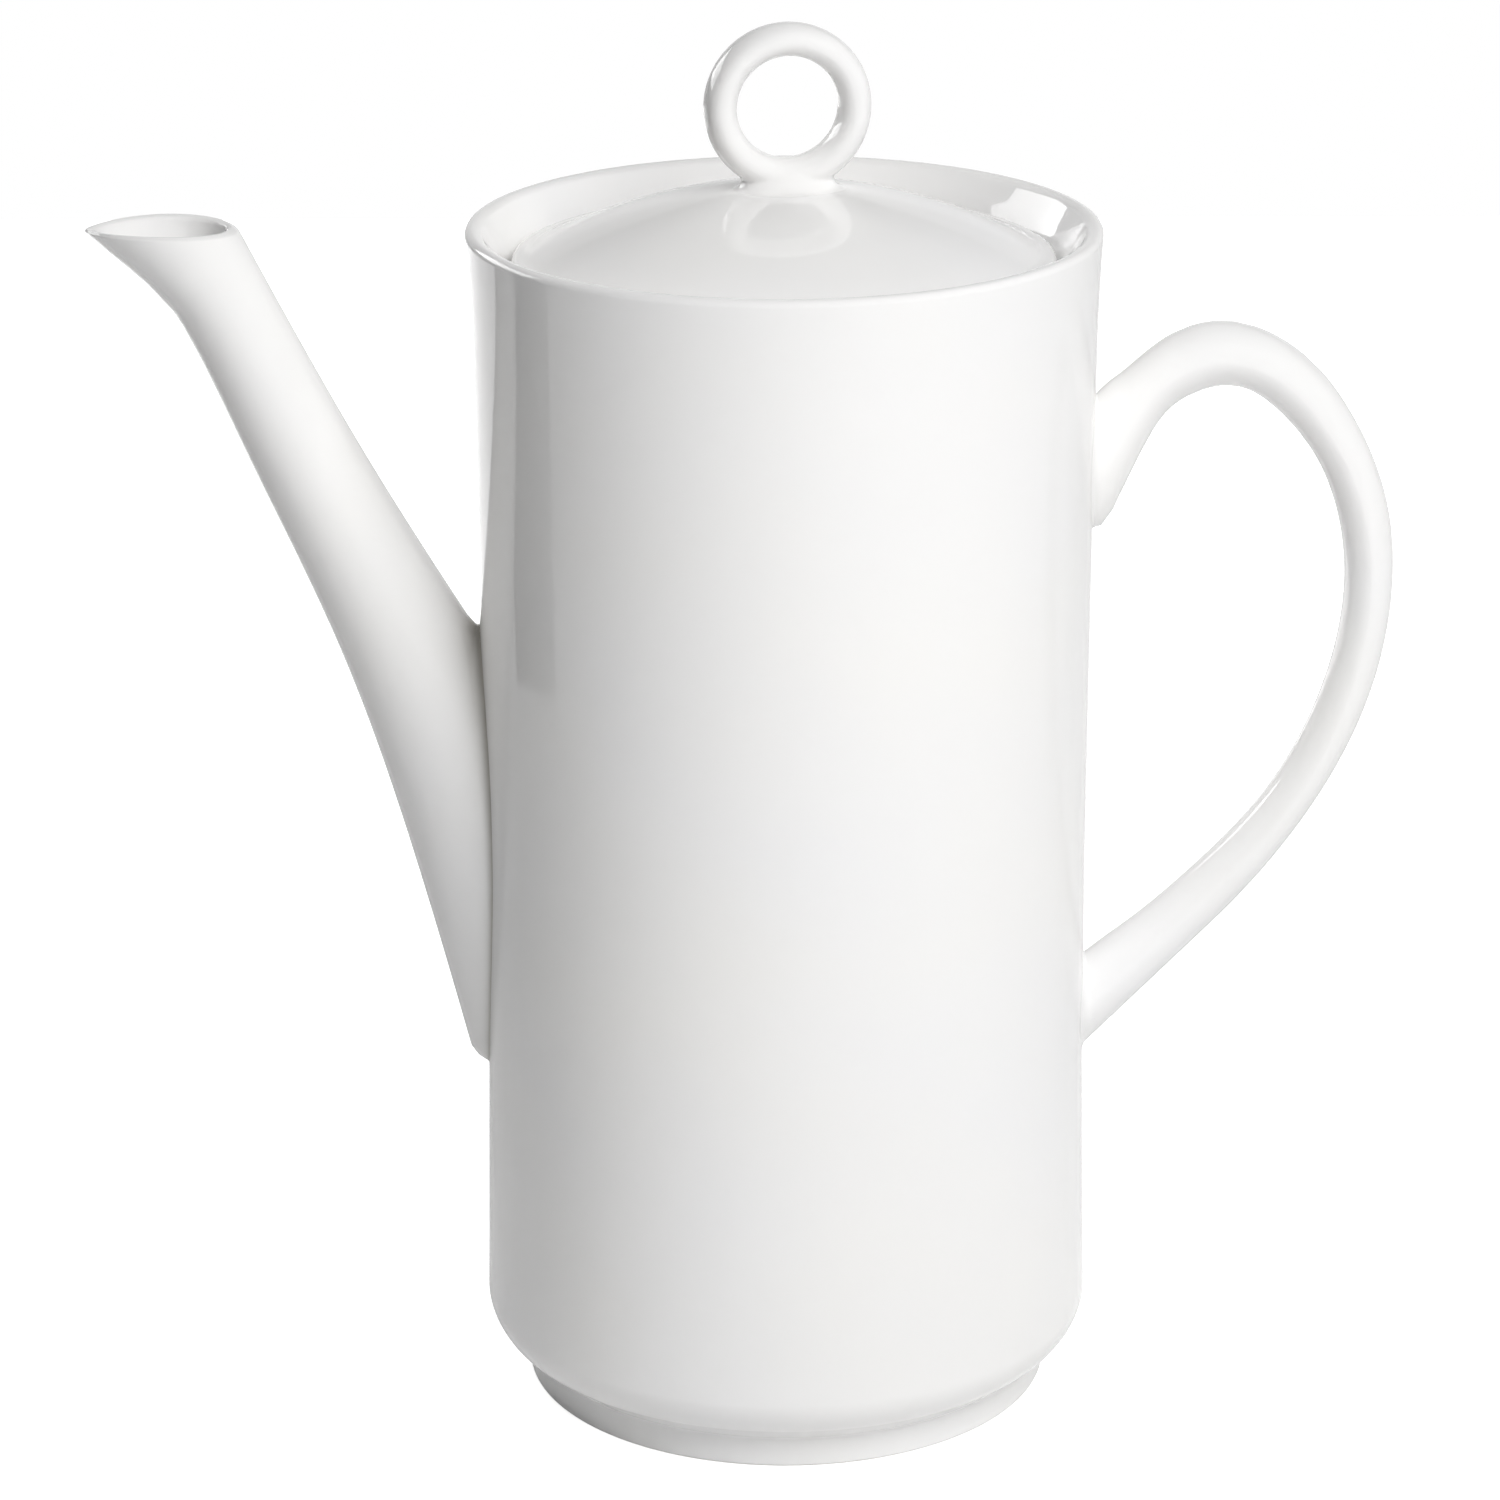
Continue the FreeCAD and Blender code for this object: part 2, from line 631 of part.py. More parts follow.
for item in doc.Objects:
    if "Invalid" in item.State or "Error" in item.State:
        raise ValueError("%s failed: %s" % (item.Name, item.State))
for piece in pieces:
    shape = piece.Shape
    if shape.isNull() or not shape.isValid() or len(shape.Solids) != 1:
        raise ValueError("%s is not one sound solid" % piece.Label)
os.makedirs("parts", exist_ok=True)
for piece in pieces:
    piece.Shape.exportStep("parts/%s.step" % piece.Label)
    box = piece.Shape.optimalBoundingBox()
    print(
        "%s: %.1f cm3, x %.1f to %.1f, y %.1f to %.1f, z %.1f to %.1f"
        % (piece.Label, piece.Shape.Volume / 1000, box.XMin, box.XMax, box.YMin, box.YMax, box.ZMin, box.ZMax)
    )
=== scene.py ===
# %% [markdown]
# # A white porcelain coffee pot
# The pot is slip-cast: body, spout, handle, lid and knob come out of plaster moulds as separate pieces,
# are stuck together with liquid clay, glazed and fired. This lesson makes them in the same order, each
# with the tool that comes closest to how the real piece gets its shape: round pieces are spun from their
# section, the spout and the handle are pressed from a plain tube, and the joints get a bead of clay wiped
# along them. The CAD model is loaded first. It gives every piece its place, and nothing in it is moved.

# %% The frame
import functools
import json
import math

import bpy
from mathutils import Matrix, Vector
from mathutils.geometry import intersect_line_line

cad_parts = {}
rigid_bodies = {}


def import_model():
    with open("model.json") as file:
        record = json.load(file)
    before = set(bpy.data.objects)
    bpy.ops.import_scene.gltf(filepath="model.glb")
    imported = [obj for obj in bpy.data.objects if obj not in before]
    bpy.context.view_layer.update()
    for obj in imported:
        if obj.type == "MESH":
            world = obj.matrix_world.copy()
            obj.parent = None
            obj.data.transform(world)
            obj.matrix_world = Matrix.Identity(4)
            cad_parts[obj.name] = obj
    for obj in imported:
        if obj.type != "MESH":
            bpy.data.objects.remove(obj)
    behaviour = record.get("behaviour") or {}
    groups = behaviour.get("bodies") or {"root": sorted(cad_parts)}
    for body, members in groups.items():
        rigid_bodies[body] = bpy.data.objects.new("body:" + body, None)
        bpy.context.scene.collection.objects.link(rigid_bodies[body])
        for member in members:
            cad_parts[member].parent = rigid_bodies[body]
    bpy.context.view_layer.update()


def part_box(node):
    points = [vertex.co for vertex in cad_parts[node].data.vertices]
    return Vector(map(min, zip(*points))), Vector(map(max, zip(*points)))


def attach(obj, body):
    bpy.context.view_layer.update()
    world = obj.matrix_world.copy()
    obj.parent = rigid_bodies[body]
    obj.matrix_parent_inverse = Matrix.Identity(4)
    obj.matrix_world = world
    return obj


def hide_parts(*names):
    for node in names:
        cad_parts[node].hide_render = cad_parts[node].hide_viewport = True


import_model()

MM = 0.001


# %% [markdown]
# ## Helpers for pieces that are spun
# A potter turns a round mould with a template that has the piece's section. Here the section is drawn as
# a wire: one point is extruded from corner to corner, and each corner is rounded by a vertex bevel. A
# corner is written as its radius and height in millimetres and how much of its two sides the rounding
# takes. Points of a long gentle curve are marked FLOW: their bevels reach half-way to the next point, so
# that they meet and the curve has no kink.

# %% Section
CLOSE = 0.002 * MM
ROUND_STEPS = 7
HALF_WAY = 50
FLOW = "flow"


def start_piece(name):
    """A new piece that is one point at the origin, in edit mode."""
    bpy.ops.object.select_all(action="DESELECT")
    bpy.ops.mesh.primitive_plane_add(size=MM)
    piece = bpy.context.object
    piece.name = piece.data.name = name
    bpy.ops.object.mode_set(mode="EDIT")
    bpy.ops.mesh.merge(type="CENTER")
    return piece


def pick(piece, wanted):
    """Selects the vertices at the wanted places, and what lies between them."""
    bpy.ops.object.mode_set(mode="OBJECT")
    mesh = piece.data
    for vertex in mesh.vertices:
        vertex.select = wanted(vertex.co)
    for edge in mesh.edges:
        edge.select = all(mesh.vertices[i].select for i in edge.vertices)
    for face in mesh.polygons:
        face.select = all(mesh.vertices[i].select for i in face.vertices)
    bpy.ops.object.mode_set(mode="EDIT")


def round_corners(piece, places, **amount):
    """Rounds the section's corners at these places."""
    pick(piece, lambda co: any((co - place).length < CLOSE for place in places))
    bpy.ops.mesh.bevel(affect="VERTICES", segments=ROUND_STEPS, clamp_overlap=False, **amount)


def draw_section(name, corners):
    """Draws the wire from corner to corner and rounds it."""
    piece = start_piece(name)
    places = [Vector((radius, 0, height)) * MM for radius, height, *_ in corners]
    bpy.ops.transform.translate(value=places[0])
    for here, there in zip(places, places[1:]):
        bpy.ops.mesh.extrude_vertices_move(TRANSFORM_OT_translate={"value": there - here})
    rounds = [(place, corner[2]) for place, corner in zip(places, corners) if len(corner) > 2]
    flowing = [place for place, amount in rounds if amount == FLOW]
    if flowing:
        round_corners(piece, flowing, offset_type="PERCENT", offset_pct=HALF_WAY)
    for place, amount in rounds:
        if amount != FLOW:
            round_corners(piece, [place], offset=amount * MM)
    bpy.ops.mesh.select_all(action="SELECT")
    bpy.ops.mesh.remove_doubles(threshold=CLOSE)
    bpy.ops.object.mode_set(mode="OBJECT")
    return piece


# %% Spin and finish
TURN = 2 * math.pi
AROUND = 160
SHARP = math.radians(40)


def spin(piece):
    """Turns the section once round the pot's axis into a closed skin."""
    bpy.ops.object.mode_set(mode="EDIT")
    bpy.ops.mesh.select_all(action="SELECT")
    bpy.ops.mesh.spin(steps=AROUND, angle=TURN, center=(0, 0, 0), axis=(0, 0, 1))
    bpy.ops.mesh.select_all(action="SELECT")
    bpy.ops.mesh.remove_doubles(threshold=CLOSE)
    bpy.ops.mesh.normals_make_consistent(inside=False)
    bpy.ops.object.mode_set(mode="OBJECT")


def apply_modifier(piece, kind, **settings):
    """Adds a modifier with these settings to the piece and applies it."""
    bpy.context.view_layer.objects.active = piece
    modifier = piece.modifiers.new(kind, kind)
    for name, value in settings.items():
        setattr(modifier, name, value)
    bpy.ops.object.modifier_apply(modifier=modifier.name)


def smooth(piece):
    """Smooth shading that keeps hard edges and lets the large faces set the normals."""
    bpy.ops.object.select_all(action="DESELECT")
    piece.select_set(True)
    bpy.context.view_layer.objects.active = piece
    bpy.ops.object.shade_smooth_by_angle(angle=SHARP)
    apply_modifier(piece, "WEIGHTED_NORMAL", keep_sharp=True)


def stand_for(piece, body):
    """Lets the piece stand for the CAD node of its name, and ride on that node's body."""
    node = piece.name.removesuffix("_glazed")
    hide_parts(node)
    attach(piece, body)


# %% [markdown]
# ## The body
# The section runs from the axis under the floor, out to the foot ring, up the slightly waisted wall, over
# the lip, down the hollowed slope to the ledge that carries the lid, and back along the inside. Spinning
# it gives lip, foot and ledge in one go, which lathing each of them from a cylinder would not.

# %% Body: its section
RIM_RADIUS = 54.0
RIM_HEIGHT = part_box("pot_body")[1].z / MM
LEDGE_DEPTH = 9.2
LEDGE_HEIGHT = RIM_HEIGHT - LEDGE_DEPTH
RECESS_RADIUS = 46.9
THROAT_RADIUS = 42.1
FOOT_RADIUS = 46.4
FOOT_HEIGHT = 5.4
FOOT_INSIDE = 41.8
FOOT_HOLLOW = 4.4
WAIST_RADIUS = 52.6
SHOULDER_RADIUS = 53.1
FLOOR_TOP = 10.0
WALL = 4.0

outside = [
    (FOOT_RADIUS, FOOT_HEIGHT, 0.5),
    (53.9, 11.2, 4.0),
    (53.2, 38.0, FLOW),
    (WAIST_RADIUS, 75.0, FLOW),
    (52.7, 115.0, FLOW),
    (52.9, 152.0, FLOW),
    (SHOULDER_RADIUS, 184.0, FLOW),
    (53.4, 199.0, FLOW),
    (RIM_RADIUS, RIM_HEIGHT, 1.3),
]
underneath = [
    (0, FOOT_HOLLOW),
    (FOOT_INSIDE, FOOT_HOLLOW, 1.5),
    (42.4, 0, 0.8),
    (FOOT_RADIUS + 0.1, 0, 0.6),
]
inside = [
    (51.5, RIM_HEIGHT, 1.1),
    (48.0, 203.8, 3.0),
    (RECESS_RADIUS, LEDGE_HEIGHT, 0.8),
    (THROAT_RADIUS, LEDGE_HEIGHT, 1.0),
    (THROAT_RADIUS, 196.1, 2.0),
    (SHOULDER_RADIUS - WALL, 187.1, 4.0),
    (WAIST_RADIUS - WALL, 85.0, FLOW),
    (53.8 - WALL, FLOOR_TOP, 9.0),
    (0, FLOOR_TOP),
]
pot_body = draw_section("pot_body_glazed", underneath + outside + inside)

# %% Body: spin, and the wall's outside
WALL_FROM = 51.0

wall_line = sorted((v.co.z / MM, v.co.x / MM) for v in pot_body.data.vertices if v.co.x > WALL_FROM * MM)
spin(pot_body)
print("body:", len(pot_body.data.vertices), "vertices,", len(wall_line), "points up the wall")


def wall_radius(height):
    """The wall's outside radius at this height, read off the section that was just drawn."""
    for (low, first), (high, last) in zip(wall_line, wall_line[1:]):
        if height <= high:
            return first + (last - first) * (height - low) / max(high - low, CLOSE)
    return wall_line[-1][1]


def wall_side(angle, height):
    """The wall's outside as a surface."""
    radius = wall_radius(height)
    return Vector((radius * math.cos(angle), radius * math.sin(angle), height)) * MM


# %% [markdown]
# ## The hole behind the spout
# Before the spout is stuck on, the caster cuts a slot through the wall. Here a cylinder is pulled apart
# into a slot's outline and taken out of the body with a Boolean modifier. Deleting faces would leave the
# wall's two skins open along the cut, and the Boolean closes them.

# %% Slot behind the spout
SLOT_WIDTH = 15.0
SLOT_LOW, SLOT_HIGH = 77.2, 124.6
SLOT_PLACE = -51.0
SLOT_CORNERS = 48

middle = (SLOT_LOW + SLOT_HIGH) / 2 * MM
stretch = (SLOT_HIGH - SLOT_LOW - SLOT_WIDTH) / 2 * MM
bpy.ops.object.select_all(action="DESELECT")
bpy.ops.mesh.primitive_cylinder_add(
    vertices=SLOT_CORNERS,
    radius=SLOT_WIDTH / 2 * MM,
    depth=2 * WALL * MM,
    location=(SLOT_PLACE * MM, 0, middle),
    rotation=(0, TURN / 4, 0),
)
slot = bpy.context.object
bpy.ops.object.transform_apply(location=True, rotation=True, scale=True)
for side in (1, -1):
    pick(slot, lambda co: (co.z - middle) * side > 0)
    bpy.ops.transform.translate(value=(0, 0, side * stretch))
bpy.ops.object.mode_set(mode="OBJECT")
apply_modifier(pot_body, "BOOLEAN", object=slot, operation="DIFFERENCE", solver="EXACT")
bpy.data.objects.remove(slot)
smooth(pot_body)
stand_for(pot_body, "pot")

# %% [markdown]
# ## Helpers for pieces that are pressed
# Spout and handle have no axis to spin about. Each starts as a plain tube with many rings, and every ring
# is pressed to its own section. A section is known at a few stations only, and a batten, the thin strip
# of wood that boat builders bend round nails, says what lies between: in numbers that is a cubic spline.
# Its ends keep the slope of the cubic through the last four nails, because a free end would flatten the
# curve there.

# %% Batten
def end_slope(places, values):
    """The slope, at the first of four points, of the cubic through them."""
    x, d = places[:4], list(values[:4])
    for order in (1, 2, 3):
        for i in range(3, order - 1, -1):
            d[i] = (d[i] - d[i - 1]) / (x[i] - x[i - order])
    return d[1] + d[2] * (x[0] - x[1]) + d[3] * (x[0] - x[1]) * (x[0] - x[2])


def batten(places, values):
    """The curve of a batten that is bent through these values at these places."""
    count = len(places)
    gaps = [after - here for here, after in zip(places, places[1:])]
    rises = [(after - here) / gap for here, after, gap in zip(values, values[1:], gaps)]
    slopes_at = [end_slope(places, values)] + [0.0] * (count - 1)
    shares = [0.0]
    for i in range(1, count - 1):
        weight = 2 / gaps[i - 1] + 2 / gaps[i] - shares[-1] / gaps[i - 1]
        pull = 3 * (rises[i - 1] / gaps[i - 1] + rises[i] / gaps[i])
        slopes_at[i] = (pull - slopes_at[i - 1] / gaps[i - 1]) / weight
        shares.append(1 / gaps[i] / weight)
    slopes_at[-1] = end_slope(places[::-1], values[::-1])
    for i in range(count - 2, 0, -1):
        slopes_at[i] -= shares[i] * slopes_at[i + 1]

    def value_at(place):
        i = 0
        while i < count - 2 and place > places[i + 1]:
            i += 1
        to = (place - places[i]) / gaps[i]
        fro = 1 - to
        ends = values[i] * fro**2 * (1 + 2 * to) + values[i + 1] * to**2 * (1 + 2 * fro)
        return ends + gaps[i] * to * fro * (slopes_at[i] * fro - slopes_at[i + 1] * to)

    return value_at


# %% Tube
def press_tube(name, strakes):
    """A tube whose rings are pressed so that its lengthwise lines become these strakes."""
    across, along = len(strakes), len(strakes[0])
    bpy.ops.object.select_all(action="DESELECT")
    bpy.ops.mesh.primitive_cylinder_add(vertices=across, radius=1, depth=1, end_fill_type="NOTHING")
    tube = bpy.context.object
    tube.name = tube.data.name = name
    mesh = tube.data
    bpy.ops.object.mode_set(mode="EDIT")
    bpy.ops.mesh.select_mode(type="EDGE")
    bpy.ops.mesh.select_all(action="DESELECT")
    bpy.ops.object.mode_set(mode="OBJECT")
    for edge in mesh.edges:
        low, high = [mesh.vertices[i].co.z for i in edge.vertices]
        edge.select = abs(high - low) > 0.5
    bpy.ops.object.mode_set(mode="EDIT")
    bpy.ops.mesh.subdivide(number_cuts=along - 2)
    bpy.ops.mesh.select_mode(type="VERT")
    bpy.ops.object.mode_set(mode="OBJECT")
    for vertex in mesh.vertices:
        strake = round(math.atan2(vertex.co.y, vertex.co.x) / TURN * across) % across
        ring = round((vertex.co.z + 0.5) * (along - 1))
        vertex.co = strakes[strake][ring]
    return tube


SEARCH_STEPS, HALVINGS = 240, 30


def root_of(side, u, outer, inner):
    """Where the side's lengthwise line u, followed from outer to inner, goes into the wall."""

    def stands_off(v):
        place = side(u, v) / MM
        return math.hypot(place.x, place.y) - wall_radius(place.z)

    places = [outer + (inner - outer) * i / SEARCH_STEPS for i in range(SEARCH_STEPS + 1)]
    clear = next(i for i, v in enumerate(places) if stands_off(v) < 0)
    out, into = places[clear - 1], places[clear]
    for _ in range(HALVINGS):
        half = (out + into) / 2
        out, into = (half, into) if stands_off(half) > 0 else (out, half)
    return out


# %% [markdown]
# ## Slip beads
# Where spout and handle meet the wall, the caster wipes a bead of liquid clay into the corner, and the
# glaze rounds it further. The bead is a torus, pressed along the joint: on each cross-section it leaves
# the wall and the piece along their own slopes, and a curve between the two fills the corner. Its back is
# buried in the clay.

# %% Slip bead: one cross-section
BEAD_STEPS = 8
BEAD_BURIED = 1.0
NEARLY = 0.9
NUDGE_ANGLE, NUDGE = 0.002, 0.05


def slopes(side, u, v):
    """The side's two directions at a place."""
    along_u = (side(u + NUDGE_ANGLE, v) - side(u - NUDGE_ANGLE, v)) / (2 * NUDGE_ANGLE)
    along_v = (side(u, v + NUDGE) - side(u, v - NUDGE)) / (2 * NUDGE)
    return along_u, along_v


def walk(side, u, v, step):
    """The place on the side that lies this step away from another."""
    a, b = slopes(side, u, v)
    aa, ab, bb = a.dot(a), a.dot(b), b.dot(b)
    sa, sb = step.dot(a), step.dot(b)
    whole = aa * bb - ab * ab
    return side(u + (sa * bb - sb * ab) / whole, v + (sb * aa - sa * ab) / whole)


def bead_curve(corner, tangent, outward, wall_place, piece_place, reach):
    """One cross-section of the bead: its curve from wall to piece, and its buried back."""
    out_of_wall = Vector((corner.x, corner.y, 0)).normalized()
    edges = []
    for (side, u, v), lead in ((wall_place, outward), (piece_place, out_of_wall)):
        a, b = slopes(side, u, v)
        normal = a.cross(b).normalized()
        away = normal.cross(tangent).normalized()
        if away.dot(lead) < 0:
            away = -away
        end = walk(side, u, v, away * reach)
        before = walk(side, u, v, away * reach * NEARLY)
        edges.append((end, (before - end).normalized()))
    (wall_end, wall_way), (piece_end, piece_way) = edges
    nearest = intersect_line_line(wall_end, wall_end + wall_way, piece_end, piece_end + piece_way)
    control = (nearest[0] + nearest[1]) / 2 if nearest else corner
    curve = []
    for i in range(BEAD_STEPS + 1):
        to = i / BEAD_STEPS
        curve.append(wall_end * (1 - to) ** 2 + control * 2 * to * (1 - to) + piece_end * to**2)
    return curve + [corner - out_of_wall * BEAD_BURIED * MM]


# %% Slip bead: along the joint
def press_bead(side, roots, reach):
    """A bead along the places where the side goes into the wall."""
    corners = [side(u, v) for u, v in roots]
    centre = sum(corners, Vector()) / len(corners)
    rows = []
    for i, (u, v) in enumerate(roots):
        corner = corners[i]
        tangent = (corners[(i + 1) % len(corners)] - corners[i - 1]).normalized()
        wall_place = (wall_side, math.atan2(corner.y, corner.x), corner.z / MM)
        rows.append(bead_curve(corner, tangent, corner - centre, wall_place, (side, u, v), reach(u) * MM))
    bpy.ops.object.select_all(action="DESELECT")
    bpy.ops.mesh.primitive_torus_add(major_segments=len(rows), minor_segments=len(rows[0]))
    bead = bpy.context.object
    for i, vertex in enumerate(bead.data.vertices):
        row, place = divmod(i, len(rows[0]))
        vertex.co = rows[row][place]
    return bead


def turn_outwards(part):
    """Turns the faces of a closed skin outwards, which makes the volume that they enclose positive."""
    bpy.ops.object.select_all(action="DESELECT")
    part.select_set(True)
    bpy.context.view_layer.objects.active = part
    bpy.ops.object.mode_set(mode="EDIT")
    bpy.ops.mesh.select_all(action="SELECT")
    bpy.ops.mesh.normals_make_consistent(inside=False)
    bpy.ops.object.mode_set(mode="OBJECT")
    volume = sum(face.center.dot(face.normal) * face.area / 3 for face in part.data.polygons)
    if volume < 0:
        part.data.flip_normals()
    print(part.name, "encloses", round(abs(volume) / MM**3), "cubic mm")


def close_and_join(piece, beads):
    """Turns every skin's faces outwards and makes the piece and its beads one."""
    for part in beads + [piece]:
        turn_outwards(part)
    for part in beads:
        part.select_set(True)
    bpy.context.view_layer.objects.active = piece
    bpy.ops.object.join()
    smooth(piece)


# %% [markdown]
# ## The spout
# Its level sections are ovals that lean away from the wall and draw out to a drop at the mouth. A cone
# with a bore cut out of it would do for a straight round pipe, but not for these. One tube makes the
# outside, the rounded lip and the bore: it runs up the outside, over the lip and down again inside, and
# its two open ends are tucked into the wall and bridged there. At the lowest point the tuck follows the
# rounded end too far and comes out inside the pot, as a narrow tongue that is hidden while the lid is on.

# %% Spout: its sides
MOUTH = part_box("spout")[1].z / MM
THROAT = MOUTH - 19.0
SPOUT_WALL = 2.2
TIP_SHARPNESS = 0.38
END = 58.5
END_ROUND = 2.6
END_STEEPNESS = 20.0
BORE_END = 78.0
BORE_END_CURVE = 0.08
BURIED = -22.0

levels = [59.2, 93.2, 138.6, 170.2, 190.2]
front = batten(levels + [197.6, 203.2, MOUTH], [3.2, 11.7, 26.0, 39.6, 48.4, 53.1, 59.2, 66.2])
back = batten(levels + [MOUTH], [BURIED, BURIED, 1.4, 19.8, 30.3, 39.8])
breadth = batten(levels + [MOUTH], [17.0, 26.0, 22.0, 19.0, 17.6, 19.2])
print("spout: mouth", round(front(MOUTH) - back(MOUTH), 1), "mm long and", round(breadth(MOUTH), 1), "broad")


def end_rounding(v):
    """How far the underside draws in towards the spout's rounded lower end."""
    depth = min(max(0.0, (END + END_ROUND - v) / END_ROUND), 1.0)
    return END_ROUND * (1 - math.sqrt(1 - depth**2)) + END_STEEPNESS * max(0.0, END - v)


def spout_side(u, v, inset=0.0):
    """The spout's outside, or a skin inside it: u runs round from the underside, v is the height."""
    near = front(v) - inset - end_rounding(v)
    if inset:
        near -= BORE_END_CURVE * max(0.0, BORE_END - v) ** 2 * inset / SPOUT_WALL
    far = back(v) + inset
    drop = TIP_SHARPNESS * max(0.0, (v - THROAT) / (MOUTH - THROAT)) ** 2
    widest = math.acos(-drop / (2 + drop))
    peak = math.sin(widest) * math.sin(widest / 2) ** drop
    out = near + (far - near) * (1 - math.cos(u)) / 2
    side = (breadth(v) / 2 - inset) * math.sin(u) * abs(math.sin(u / 2)) ** drop / peak
    return Vector((-WAIST_RADIUS - out, side, v)) * MM


def spout_bore(u, v):
    """The skin of the spout's bore."""
    return spout_side(u, v, SPOUT_WALL)


# %% Spout: tube and bead
SPOUT_STRAKES = 96
OUTSIDE_RINGS, LIP_RINGS, BORE_RINGS = 96, 10, 40
LIP_ROUND = 1.0
RIM_ARCH = 0.5
FINE_START = 0.35
LOWEST = 56.0
TUCK, BORE_TUCK = 1.5, 1.0
BEAD_UNDER, BEAD_BESIDE, BEAD_IN_FORK = 0.4, 1.2, 2.8
BEAD_FULL_FROM = 0.6

angles = [TURN * k / SPOUT_STRAKES for k in range(SPOUT_STRAKES)]
spout_roots = [(u, root_of(spout_side, u, MOUTH, LOWEST)) for u in angles]
spout_strakes = []
for u, root in spout_roots:
    strake = []
    top = MOUTH - LIP_ROUND + RIM_ARCH * math.sin(u) ** 2
    start = root - TUCK
    for i in range(OUTSIDE_RINGS):
        share = i / OUTSIDE_RINGS
        share = FINE_START * share + (1 - FINE_START) * share**2
        strake.append(spout_side(u, start + (top - start) * share))
    for i in range(LIP_RINGS + 1):
        bend = math.pi * i / LIP_RINGS
        strake.append(spout_side(u, top + LIP_ROUND * math.sin(bend), SPOUT_WALL * (1 - math.cos(bend)) / 2))
    bore_root = root_of(spout_bore, u, MOUTH, LOWEST)
    for i in range(1, BORE_RINGS + 1):
        strake.append(spout_bore(u, top + (bore_root - BORE_TUCK - top) * i / BORE_RINGS))
    spout_strakes.append(strake)
spout = press_tube("spout_glazed", spout_strakes)
bpy.ops.object.mode_set(mode="EDIT")
bpy.ops.mesh.select_all(action="DESELECT")
bpy.ops.mesh.select_non_manifold()
bpy.ops.mesh.bridge_edge_loops()
bpy.ops.object.mode_set(mode="OBJECT")


def bead_reach(u):
    """The bead is small under the spout, wider at its sides and widest in the fork above."""
    up = (1 - math.cos(u)) / 2
    return BEAD_UNDER + BEAD_BESIDE * min(1.0, up / BEAD_FULL_FROM) ** 2 + BEAD_IN_FORK * up**8


spout_bead = press_bead(spout_side, spout_roots, bead_reach)
close_and_join(spout, [spout_bead])
stand_for(spout, "pot")

# %% [markdown]
# ## Pooled glaze and painted shade in the spout's joint
# Before firing, the wet glaze runs into the corner between spout and wall and lies thicker there. The
# spout is painted darker towards that corner, most of all in the fork on top: partly the grey of thicker
# glaze, partly painted shade for the shadow in the corner. How strong it is, is noted on every vertex of
# the spout as an attribute, from its distance to the wall, and the glaze's material reads it further down.
# How dark it gets is judged. An ambient occlusion node needs no attribute, but it darkens every corner, so
# the lid's recess and the foot would turn grey too.

# %% Pooled glaze and painted shade
GLAZE_AND_SHADE = "pooled_glaze_and_painted_shade"
GLAZE_AND_SHADE_LOW, GLAZE_AND_SHADE_TOP = 85.0, 137.0
GLAZE_AND_SHADE_THIN, GLAZE_AND_SHADE_THICK = 0.4, 1.8
GLAZE_AND_SHADE_SEEN = 0.1

# The attribute is 1 at the wall and fades away from it, widest in the fork: pooled glaze and painted shade.
glaze_and_shade_depths = spout.data.attributes.new(GLAZE_AND_SHADE, "FLOAT", "POINT")
for vertex, depth in zip(spout.data.vertices, glaze_and_shade_depths.data):
    place = vertex.co / MM
    off_wall = max(0.0, math.hypot(place.x, place.y) - wall_radius(place.z))
    share = min(max(0.0, (place.z - GLAZE_AND_SHADE_LOW) / (GLAZE_AND_SHADE_TOP - GLAZE_AND_SHADE_LOW)), 1.0)
    depth.value = math.exp(-off_wall / (GLAZE_AND_SHADE_THIN + GLAZE_AND_SHADE_THICK * share**3))
# Counts the spout's vertices that carry pooled glaze and painted shade.
print("glaze pools on", sum(depth.value > GLAZE_AND_SHADE_SEEN for depth in glaze_and_shade_depths.data), "vertices of the spout")

# %% [markdown]
# ## The handle
# An ear of solid clay with an oval section, thickest at its two roots. Its middle line is a batten
# through nine stations. The ovals stand upright at the wall and turn square across the bar on the way,
# and the side towards the fingers tapers a little, as the halves of the mould meet there. Sweeping one
# oval along a curve would be quicker, but it would keep one thickness and cut the roots off square.

# %% Handle: its skin
# Off the wall, height, thickness, width
HANDLE_STATIONS = [
    (-3.0, 166.0, 20.0, 15.0),
    (0.6, 168.2, 22.8, 15.0),
    (11.2, 182.4, 10.9, 12.4),
    (22.0, 187.1, 11.0, 12.4),
    (41.2, 173.0, 9.0, 12.4),
    (48.3, 147.0, 8.3, 12.4),
    (35.0, 105.7, 8.0, 12.4),
    (13.8, 81.8, 10.0, 12.4),
    (-3.0, 65.9, 17.0, 15.0),
]
ARCH, TAIL = 3, 7
INNER_TAPER = 1.2
NUB, NUB_PLACE, NUB_SPREAD = 0.65, 6.0, 2.2

outs, heights, talls, wides = zip(*HANDLE_STATIONS)
runs = [0.0]
for here, after in zip(HANDLE_STATIONS, HANDLE_STATIONS[1:]):
    runs.append(runs[-1] + math.dist(here[:2], after[:2]))
line_out, line_height = batten(runs, outs), batten(runs, heights)
middles = [(here + after) / 2 for here, after in zip(runs, runs[1:])]
ring_places = sorted(runs + middles)
print("handle:", round(runs[-1]), "mm of clay from root to root")


def steady(values, place):
    """What changes evenly from station to station has this value at a place."""
    i = next(i for i in range(len(runs) - 1) if place <= runs[i + 1])
    return values[i] + (values[i + 1] - values[i]) * (place - runs[i]) / (runs[i + 1] - runs[i])


